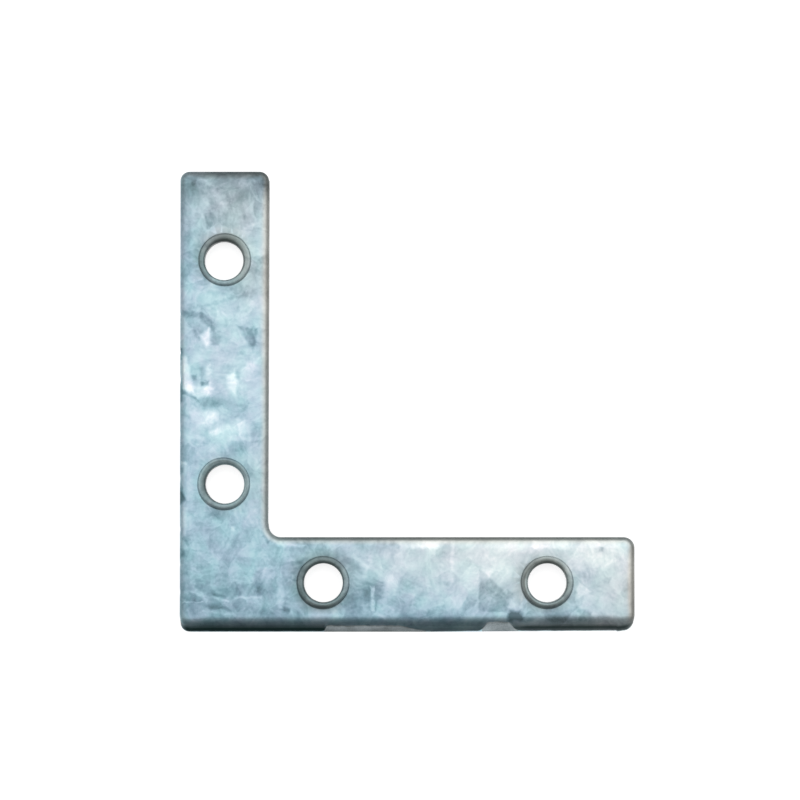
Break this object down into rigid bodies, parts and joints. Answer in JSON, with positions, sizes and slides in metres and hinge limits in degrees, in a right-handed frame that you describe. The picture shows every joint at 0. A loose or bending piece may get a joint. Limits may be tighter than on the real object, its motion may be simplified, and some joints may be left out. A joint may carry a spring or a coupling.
{
  "type": "flat corner brace",
  "caption": "Flat L-shaped galvanised steel plate with rolled-over blanked edges and round screw holes with raised lips, for stiffening a right-angled timber joint",
  "frame": {"origin": "where the hole lines of the two legs cross, on the back face that lies on the timber", "axes": "+X along the foot, +Y along the upright, +Z out of the visible face"},
  "size_m": [0.0751, 0.0762, 0.0029],
  "materials": {
    "galvanised_steel": "galvanised, spangled zinc"
  },
  "bodies": {
    "root": {"corner_plate": "galvanised_steel"}
  },
  "joints": []
}
